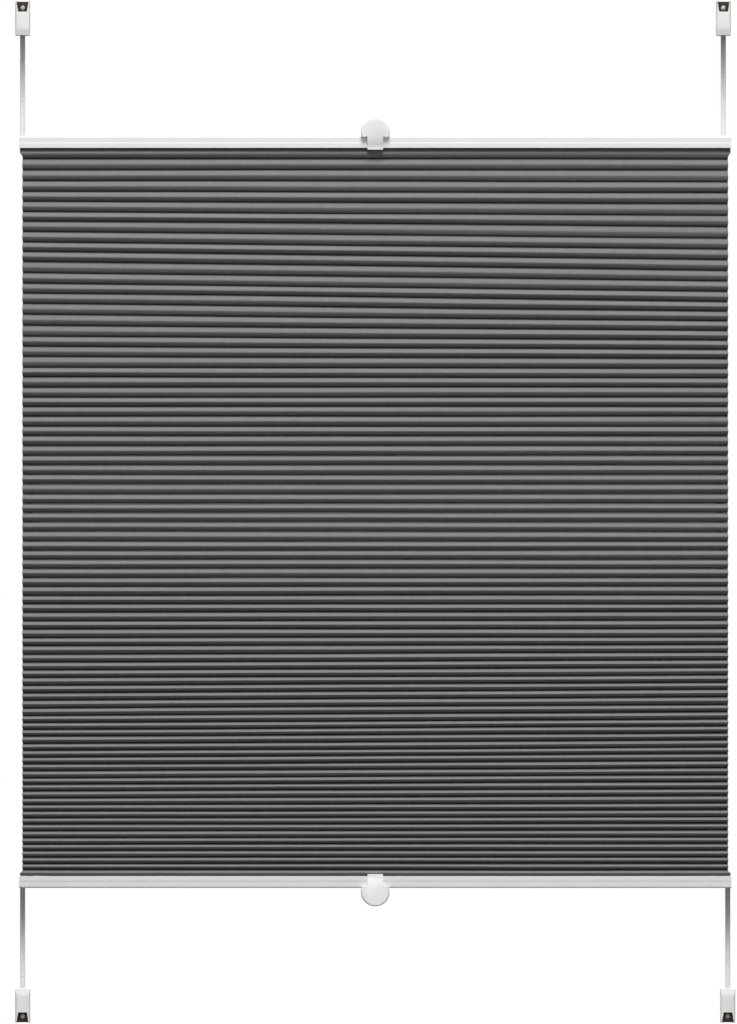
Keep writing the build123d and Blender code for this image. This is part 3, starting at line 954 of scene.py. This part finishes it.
def thread_ridge(settings, start, stop):
    """A ridge that winds along the shank, as points and faces."""
    pitch = settings.thread_pitch
    turns = (stop - start) / pitch
    steps = int(turns * THREAD_STEPS)
    core = SCREW_RADIUS - settings.thread_depth - THREAD_ROOT
    foot, top = RIDGE_FOOT * pitch, RIDGE_CREST * pitch
    points, faces = [], []
    for k in range(steps + 1):
        share = k / steps
        turn = share * turns * math.tau
        at = start + share * (stop - start)
        fade = min(1, share * turns, (1 - share) * turns)
        crest = core + (SCREW_RADIUS - core) * fade
        for radius, offset in ((core, -foot), (crest, -top), (crest, top), (core, foot)):
            points.append((radius * math.cos(turn), at + offset, radius * math.sin(turn)))
    for k in range(steps):
        for j in range(4):
            a, b = k * 4 + j, k * 4 + (j + 1) % 4
            faces.append((a, b, b + 4, a + 4))
    faces.append((3, 2, 1, 0))
    last = steps * 4
    faces.append((last, last + 1, last + 2, last + 3))
    return points, faces


def slot_cutter(low, turned):
    """A block that narrows inwards, to cut one of the two slots of the driver's cross."""
    depth, reach, width = 1.5 * MM, 1.75 * MM, 0.36 * MM
    points = []
    for at, scale in ((low - MM, 1.15), (low + depth, 0.55)):
        for a, b in ((-1, -1), (1, -1), (1, 1), (-1, 1)):
            long, wide = a * reach * scale, b * width * scale
            points.append((wide, at, long) if turned else (long, at, wide))
    quads = ((0, 1, 2, 3), (7, 6, 5, 4), (0, 4, 5, 1), (1, 5, 6, 2), (2, 6, 7, 3), (3, 7, 4, 0))
    faces = [quad if turned else quad[::-1] for quad in quads]
    return new_piece("cutter", points, faces, [])


def cut_cross(piece, low):
    """Cuts the cross recess into a screw's head and applies the cut."""
    cutters = [slot_cutter(low, turned) for turned in (False, True)]
    for number, cutter in enumerate(cutters):
        cut = piece.modifiers.new(f"cut_{number}", "BOOLEAN")
        cut.operation = "DIFFERENCE"
        cut.solver = "EXACT"
        cut.object = cutter
    graph = bpy.context.evaluated_depsgraph_get()
    final = bpy.data.meshes.new_from_object(piece.evaluated_get(graph))
    piece.modifiers.clear()
    piece.data = final
    for cutter in cutters:
        bpy.data.objects.remove(cutter)


def dress_screws(settings):
    """Clamp screws with a cross recess and a real thread, one for each clamp."""
    zinc = plated_finish("bright_zinc", settings.zinc, roughness=0.68)
    low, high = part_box("top_left_clamp_screw")
    points, faces = lathe(screw_profile(settings, low, high), SCREW_SIDES)
    body = new_piece("screw_pattern", points, faces, [zinc])
    cut_cross(body, low.y)
    ridge, ridge_faces = thread_ridge(settings, low.y + THREAD_START, high.y - THREAD_END)
    offset = len(body.data.vertices)
    all_points = [tuple(v.co) for v in body.data.vertices] + ridge
    all_faces = [tuple(p.vertices) for p in body.data.polygons]
    all_faces += [tuple(v + offset for v in face) for face in ridge_faces]
    bpy.data.objects.remove(body)
    for end, side in CORNERS:
        node = f"{end}_{side}_clamp_screw"
        screw_low, screw_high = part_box(node)
        middle = (screw_low + screw_high) / 2
        moved = [(p[0] + middle.x, p[1], p[2] + middle.z) for p in all_points]
        piece = new_piece(f"{end}_{side}_screw", moved, all_faces, [zinc])
        sharpen(piece, SCREW_FOLD)
        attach(piece, f"{end}_{side}_screw")
        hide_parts(node)


def dress_springs(settings, colour):
    """Tension springs of round wire under the top anchors."""
    wire = plated_finish("spring_wire", colour, roughness=0.32)
    low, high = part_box("tension_springs")
    radius = (high.y - low.y) / 2 - settings.spring_wire
    curve = new_wire("tension_coils", settings.spring_wire, wire)
    steps = settings.spring_turns * SPRING_STEPS
    wire_low, wire_high = low.z + settings.spring_wire, high.z - settings.spring_wire
    for side in SIDES:
        x = shoe_middle("top", side)
        spline = curve.splines.new("POLY")
        spline.points.add(steps)
        for k, point in enumerate(spline.points):
            turn = math.tau * k / SPRING_STEPS
            climb = (k / steps - SPRING_END) / (1 - 2 * SPRING_END)
            z = wire_low + min(1, max(0, climb)) * (wire_high - wire_low)
            point.co = (x + radius * math.cos(turn), BLIND_Y + radius * math.sin(turn), z, 1)
    piece = put("tension_coils", curve)
    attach(piece, "root")
    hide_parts("tension_springs")


# Stage


def seen_ray(tree):
    """1 for rays that show the surroundings: the camera's, and those in reflections and glass."""
    ray = tree.nodes.new("ShaderNodeLightPath")
    seen = ray.outputs["Is Camera Ray"]
    for name in ("Is Glossy Ray", "Is Transmission Ray"):
        either = tree.nodes.new("ShaderNodeMath")
        either.operation = "MAXIMUM"
        tree.links.new(seen, either.inputs[0])
        tree.links.new(ray.outputs[name], either.inputs[1])
        seen = either.outputs[0]
    return seen


def floor_finish(reach):
    """Pale matt floor that fades into the white round it, and throws little light back up."""
    material, shader = new_finish("pale_floor", FLOOR_COLOUR, roughness=0.7)
    tree = material.node_tree
    seen = seen_ray(tree)
    pale = add(material, "ShaderNodeValToRGB", Fac=seen)
    pale.color_ramp.elements[0].color = (*FLOOR_BOUNCE, 1)
    pale.color_ramp.elements[1].color = (*FLOOR_COLOUR, 1)
    tree.links.new(pale.outputs[0], shader.inputs["Base Color"])
    spot = add(material, "ShaderNodeTexCoord").outputs["Object"]
    far = add(material, "ShaderNodeVectorMath")
    far.operation = "LENGTH"
    tree.links.new(spot, far.inputs[0])
    fade = add(material, "ShaderNodeMapRange", Value=far.outputs["Value"])
    fade.inputs["From Min"].default_value = FADE_START * reach
    fade.inputs["From Max"].default_value = reach
    white = add(material, "ShaderNodeEmission", Strength=seen)
    mix = add(material, "ShaderNodeMixShader", Fac=fade.outputs[0])
    tree.links.new(shader.outputs[0], mix.inputs[1])
    tree.links.new(white.outputs[0], mix.inputs[2])
    tree.links.new(mix.outputs[0], tree.nodes["Material Output"].inputs[0])
    return material


def white_surroundings(ambient):
    """World that lights evenly, and shows white to the camera and in reflections."""
    world = bpy.data.worlds.new("white_surroundings")
    world.use_nodes = True
    tree = world.node_tree
    even = tree.nodes["Background"]
    even.inputs["Color"].default_value = (1, 1, 1, 1)
    even.inputs["Strength"].default_value = ambient
    white = tree.nodes.new("ShaderNodeBackground")
    white.inputs["Color"].default_value = (1, 1, 1, 1)
    white.inputs["Strength"].default_value = 1.0
    mix = tree.nodes.new("ShaderNodeMixShader")
    tree.links.new(seen_ray(tree), mix.inputs[0])
    tree.links.new(even.outputs[0], mix.inputs[1])
    tree.links.new(white.outputs[0], mix.inputs[2])
    tree.links.new(mix.outputs[0], tree.nodes["World Output"].inputs[0])
    bpy.context.scene.world = world


def add_lamp(name, stand, size, power):
    """A soft lamp, of that width and height, that points at the blind's middle."""
    data = bpy.data.lights.new(name, "AREA")
    data.shape = "RECTANGLE"
    data.size, data.size_y = size
    data.energy = power
    lamp = put(name, data)
    lamp.location = stand
    lamp.rotation_mode = "QUATERNION"
    lamp.rotation_quaternion = (-Vector(stand)).to_track_quat("-Z", "Y")


def set_stage(settings):
    """Floor, lamps and the camera at the photograph's angle."""
    scene = bpy.context.scene
    scene.view_settings.view_transform = "Standard"
    white_surroundings(settings.ambient)
    edge = FLOOR_HALF
    points = [(-edge, -edge, 0), (edge, -edge, 0), (edge, edge, 0), (-edge, edge, 0)]
    floor = new_piece("floor", points, [(0, 1, 2, 3)], [floor_finish(settings.floor_reach)])
    floor.location = (0, 0, CAD_BOX[0].z - settings.floor_drop)
    add_lamp("key_light", stand=(0.1, -4.6, 7.8), size=(4.4, 4.4), power=settings.key)
    add_lamp("fill_light", stand=(0.3, -7.0, 1.9), size=(4.4, 2.0), power=settings.fill)
    add_lamp("back_light", stand=(-0.6, 4.0, 2.0), size=(2.6, 1.6), power=settings.back)
    camera = put("camera", bpy.data.cameras.new("camera"))
    camera.data.lens = settings.lens
    camera.data.sensor_width = SENSOR
    distance = settings.view_height * settings.lens / SENSOR
    camera.location = (settings.view_x, BLIND_Y - distance, 0)
    camera.rotation_euler = (math.radians(90), 0, 0)
    scene.camera = camera


# Operators, panel and registration


class BLIND_OT_fabric(bpy.types.Operator):
    """Makes the honeycomb fabric, cell by cell"""

    bl_idname = "blind.fabric"
    bl_label = "Honeycomb fabric"

    def execute(self, context):
        dress_fabric(context.scene.blind_fabric)
        return {"FINISHED"}


class BLIND_OT_cords(bpy.types.Operator):
    """Makes the tension cords in their stretches"""

    bl_idname = "blind.cords"
    bl_label = "Tension cords"

    def execute(self, context):
        dress_cords(context.scene.blind_cords)
        return {"FINISHED"}


class BLIND_OT_rails(bpy.types.Operator):
    """Finishes the rails, their strips and end caps"""

    bl_idname = "blind.rails"
    bl_label = "Rails"

    def execute(self, context):
        dress_rails(context.scene.blind_hardware)
        return {"FINISHED"}


class BLIND_OT_handles(bpy.types.Operator):
    """Finishes the clip-on handles"""

    bl_idname = "blind.handles"
    bl_label = "Handles"

    def execute(self, context):
        dress_handles(context.scene.blind_hardware)
        return {"FINISHED"}


class BLIND_OT_shoes(bpy.types.Operator):
    """Finishes the shoes and the anchors in them"""

    bl_idname = "blind.shoes"
    bl_label = "Shoes"

    def execute(self, context):
        dress_shoes(context.scene.blind_hardware)
        return {"FINISHED"}


class BLIND_OT_clamps(bpy.types.Operator):
    """Finishes the clamps and their pads"""

    bl_idname = "blind.clamps"
    bl_label = "Clamps"

    def execute(self, context):
        dress_clamps(context.scene.blind_hardware)
        return {"FINISHED"}


class BLIND_OT_screws(bpy.types.Operator):
    """Makes the clamp screws with their threads"""

    bl_idname = "blind.screws"
    bl_label = "Clamp screws"

    def execute(self, context):
        dress_screws(context.scene.blind_hardware)
        return {"FINISHED"}


class BLIND_OT_springs(bpy.types.Operator):
    """Makes the tension springs under the top anchors"""

    bl_idname = "blind.springs"
    bl_label = "Tension springs"

    def execute(self, context):
        dress_springs(context.scene.blind_cords, context.scene.blind_hardware.zinc)
        return {"FINISHED"}


class BLIND_OT_stage(bpy.types.Operator):
    """Sets up the floor, the light and the camera"""

    bl_idname = "blind.stage"
    bl_label = "Stage"

    def execute(self, context):
        set_stage(context.scene.blind_stage)
        return {"FINISHED"}


OPERATORS = (
    BLIND_OT_fabric,
    BLIND_OT_cords,
    BLIND_OT_rails,
    BLIND_OT_handles,
    BLIND_OT_shoes,
    BLIND_OT_clamps,
    BLIND_OT_screws,
    BLIND_OT_springs,
    BLIND_OT_stage,
)


class BLIND_PT_panel(bpy.types.Panel):
    """Lists the blind's operators and settings"""

    bl_idname = "BLIND_PT_panel"
    bl_label = "Pleated blind"
    bl_space_type = "VIEW_3D"
    bl_region_type = "UI"
    bl_category = "Blind"

    def draw(self, context):
        layout = self.layout
        for operator in OPERATORS:
            layout.operator(operator.bl_idname)
        for name in SETTINGS:
            box = layout.box()
            group = getattr(context.scene, name)
            for prop in group.bl_rna.properties:
                if prop.identifier not in ("rna_type", "name"):
                    box.prop(group, prop.identifier)


def register():
    """Adds the settings, the operators and the panel."""
    for name, group in SETTINGS.items():
        bpy.utils.register_class(group)
        setattr(bpy.types.Scene, name, bpy.props.PointerProperty(type=group))
    for kind in (*OPERATORS, BLIND_PT_panel):
        bpy.utils.register_class(kind)


def unregister():
    """Takes them away again."""
    for kind in reversed((*OPERATORS, BLIND_PT_panel)):
        bpy.utils.unregister_class(kind)
    for name, group in SETTINGS.items():
        delattr(bpy.types.Scene, name)
        bpy.utils.unregister_class(group)


def main():
    """Builds the dressed blind."""
    register()
    bpy.ops.blind.fabric()
    bpy.ops.blind.cords()
    bpy.ops.blind.rails()
    bpy.ops.blind.handles()
    bpy.ops.blind.shoes()
    bpy.ops.blind.clamps()
    bpy.ops.blind.screws()
    bpy.ops.blind.springs()
    bpy.ops.blind.stage()


if __name__ == "__main__":
    main()
